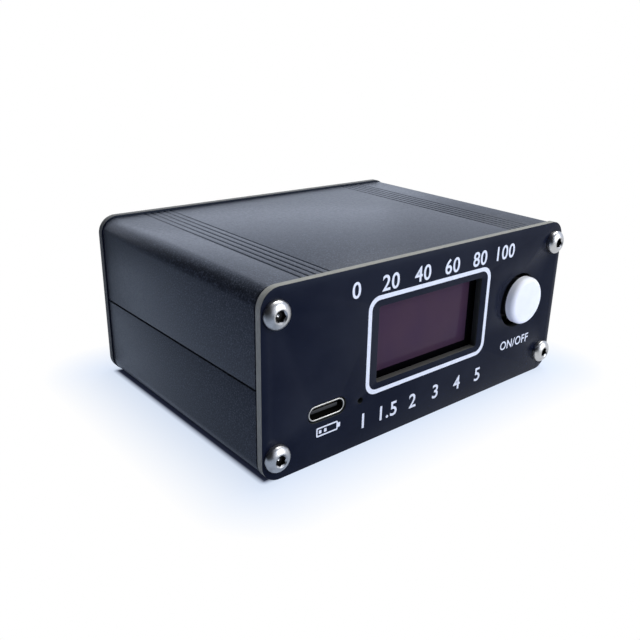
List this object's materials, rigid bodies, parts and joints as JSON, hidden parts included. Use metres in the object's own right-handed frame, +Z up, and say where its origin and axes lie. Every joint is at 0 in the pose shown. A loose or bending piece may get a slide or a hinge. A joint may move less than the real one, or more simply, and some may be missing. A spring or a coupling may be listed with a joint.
{
  "type": "swr meter",
  "caption": "Pocket radio power and SWR meter: split black extruded case with a display window, a round push button, a charging port and coaxial sockets on the rear.",
  "frame": {"origin": "middle of the whole object's footprint, on the surface that the panels stand on", "axes": "+X to the right along the front panel, +Y to the rear with the sockets, +Z up"},
  "size_m": [0.088, 0.0834, 0.038],
  "materials": {
    "black_anodised": "satin, fine bead-blasted black anodising",
    "black_panel": "satin black circuit-board panel",
    "bright_steel": "polished",
    "nickel": "bright nickel plate",
    "white_plastic": "satin white",
    "black_plastic": "matte",
    "display_glass": "dark, polished",
    "board_green": "solder mask",
    "insulator_white": "matte",
    "contact_gold": "gold plate",
    "copper": "enamelled copper wire",
    "ferrite": "matte sintered",
    "battery_foil": "satin foil",
    "red_lead": "insulated wire"
  },
  "bodies": {
    "case": {"battery": "battery_foil", "battery_lead_minus": "black_plastic", "battery_lead_plus": "red_lead", "battery_plug": "insulator_white", "battery_socket": "black_plastic", "charge_controller": "black_plastic", "charge_indicator": "insulator_white", "current_core": "ferrite", "current_winding": "copper", "detector_amplifier": "black_plastic", "display_board": "board_green", "display_glass": "display_glass", "display_header": "black_plastic", "front_board": "board_green", "front_panel": "black_panel", "front_screw_bottom_left": "bright_steel", "front_screw_bottom_right": "bright_steel", "front_screw_top_left": "bright_steel", "front_screw_top_right": "bright_steel", "input_contact": "contact_gold", "input_flange_nut_1": "bright_steel", "input_flange_nut_2": "bright_steel", "input_flange_nut_3": "bright_steel", "input_flange_nut_4": "bright_steel", "input_flange_screw_1": "bright_steel", "input_flange_screw_2": "bright_steel", "input_flange_screw_3": "bright_steel", "input_flange_screw_4": "bright_steel", "input_insulator": "insulator_white", "input_socket": "nickel", "link_header": "black_plastic", "lower_shell": "black_anodised", "main_board": "board_green", "output_contact": "contact_gold", "output_flange_nut_1": "bright_steel", "output_flange_nut_2": "bright_steel", "output_flange_nut_3": "bright_steel", "output_flange_nut_4": "bright_steel", "output_flange_screw_1": "bright_steel", "output_flange_screw_2": "bright_steel", "output_flange_screw_3": "bright_steel", "output_flange_screw_4": "bright_steel", "output_insulator": "insulator_white", "output_socket": "nickel", "processor": "black_plastic", "rear_panel": "black_panel", "rear_screw_bottom_left": "bright_steel", "rear_screw_bottom_right": "bright_steel", "rear_screw_top_left": "bright_steel", "rear_screw_top_right": "bright_steel", "switch_body": "black_plastic", "through_line": "copper", "upper_shell": "black_anodised", "usb_shell": "nickel", "usb_tongue": "black_plastic", "voltage_core": "ferrite", "voltage_winding": "copper"},
    "button": {"button_cap": "white_plastic", "switch_plunger": "black_plastic"}
  },
  "joints": [
    {"name": "button_press", "type": "slide", "parent": "case", "child": "button", "axis": [0, 1, 0], "range_m": [0, 0.0003], "stiffness_N_per_m": 5000}
  ]
}
